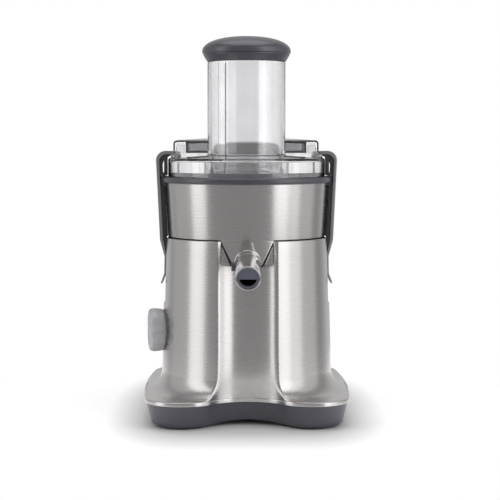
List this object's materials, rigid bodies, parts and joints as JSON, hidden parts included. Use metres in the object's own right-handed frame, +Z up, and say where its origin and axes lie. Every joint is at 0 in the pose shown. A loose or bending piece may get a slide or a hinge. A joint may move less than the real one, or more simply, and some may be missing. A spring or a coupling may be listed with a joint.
{
  "type": "centrifugal juicer",
  "caption": "Upright centrifugal juicer: scooped brushed steel motor housing, steel bowl with turning spout, side clips, clear lid with feed chute and pusher, rear pulp container.",
  "frame": {"origin": "on the drive axis, on the surface the feet stand on, at the middle of the part's plan box", "axes": "+X to the right seen from the front, +Y to the back where the pulp container is, +Z up along the drive axis; the spout points to -Y"},
  "size_m": [0.2222, 0.316, 0.4095],
  "materials": {
    "steel": "horizontally brushed",
    "dark_plastic": "satin",
    "black_plastic": "satin",
    "clear_plastic": "clear, polished",
    "smoked_plastic": "satin",
    "knob_silver": "satin silver",
    "spout_steel": "polished",
    "insert_plastic": "satin",
    "rubber": "matt",
    "iron": "laminated",
    "copper": "varnished",
    "aluminium": "cast",
    "bright_steel": "ground",
    "mesh_steel": "etched",
    "circuit_board": "satin",
    "carbon": "matt"
  },
  "bodies": {
    "base": {"motor_housing": "steel", "base_skirt": "dark_plastic", "foot_front_left": "rubber", "foot_front_right": "rubber", "foot_rear_left": "rubber", "foot_rear_right": "rubber", "base_screws": "bright_steel", "cable_gland": "black_plastic", "top_deck": "black_plastic", "shaft_seal": "rubber", "motor_mounts": "rubber", "motor_screws": "bright_steel", "upper_bracket": "aluminium", "lower_bracket": "aluminium", "upper_bearing": "bright_steel", "lower_bearing": "bright_steel", "stator_core": "iron", "field_windings": "copper", "carbon_brushes": "carbon", "brush_holders": "black_plastic", "control_board": "circuit_board", "board_parts": "black_plastic", "knob_bezel": "dark_plastic", "rotary_switch": "black_plastic", "interlock_switches": "black_plastic", "juice_bowl": "smoked_plastic", "bowl_band": "steel", "bowl_ring": "dark_plastic", "spout_root": "spout_steel", "spout_oring": "rubber", "lid": "clear_plastic", "clip_hinge_left": "clear_plastic", "clip_hinge_right": "clear_plastic", "clip_pin_left": "bright_steel", "clip_pin_right": "bright_steel"},
    "drive": {"motor_shaft": "bright_steel", "rotor_core": "iron", "commutator": "copper", "cooling_fan": "black_plastic", "drive_coupling": "black_plastic", "basket_base": "black_plastic", "grating_disc": "mesh_steel", "basket_mesh": "mesh_steel", "basket_rim": "mesh_steel"},
    "knob": {"speed_knob": "knob_silver", "knob_shaft": "bright_steel"},
    "clip_left": {"clip_strip_left": "steel", "clip_liner_left": "black_plastic"},
    "clip_right": {"clip_strip_right": "steel", "clip_liner_right": "black_plastic"},
    "spout": {"spout_sleeve": "spout_steel", "spout_insert": "insert_plastic", "spout_tab": "black_plastic"},
    "pusher": {"pusher_tube": "clear_plastic", "pusher_base": "clear_plastic", "pusher_cap": "dark_plastic"},
    "container": {"pulp_container": "smoked_plastic"}
  },
  "joints": [
    {"name": "drive_spin", "type": "hinge", "parent": "base", "child": "drive", "pos_m": [0, 0, 0.2], "axis": [0, 0, 1], "continuous": true},
    {"name": "knob_turn", "type": "hinge", "parent": "base", "child": "knob", "pos_m": [-0.09903, -0.01392, 0.094], "axis": [0.9903, 0.1392, 0], "range_deg": [-45, 90]},
    {"name": "clip_left_swing", "type": "hinge", "parent": "base", "child": "clip_left", "pos_m": [-0.076, 0, 0.2832], "axis": [0, 1, 0], "range_deg": [0, 105]},
    {"name": "clip_right_swing", "type": "hinge", "parent": "base", "child": "clip_right", "pos_m": [0.076, 0, 0.2832], "axis": [0, -1, 0], "range_deg": [0, 105]},
    {"name": "spout_turn", "type": "hinge", "parent": "base", "child": "spout", "pos_m": [0, -0.1047, 0.1758], "axis": [0, -0.9659, -0.2588], "range_deg": [0, 180]},
    {"name": "pusher_slide", "type": "slide", "parent": "base", "child": "pusher", "axis": [0, 0, 1], "range_m": [0, 0.17]},
    {"name": "container_slide", "type": "slide", "parent": "base", "child": "container", "axis": [0, 1, 0], "range_m": [0, 0.15]}
  ]
}
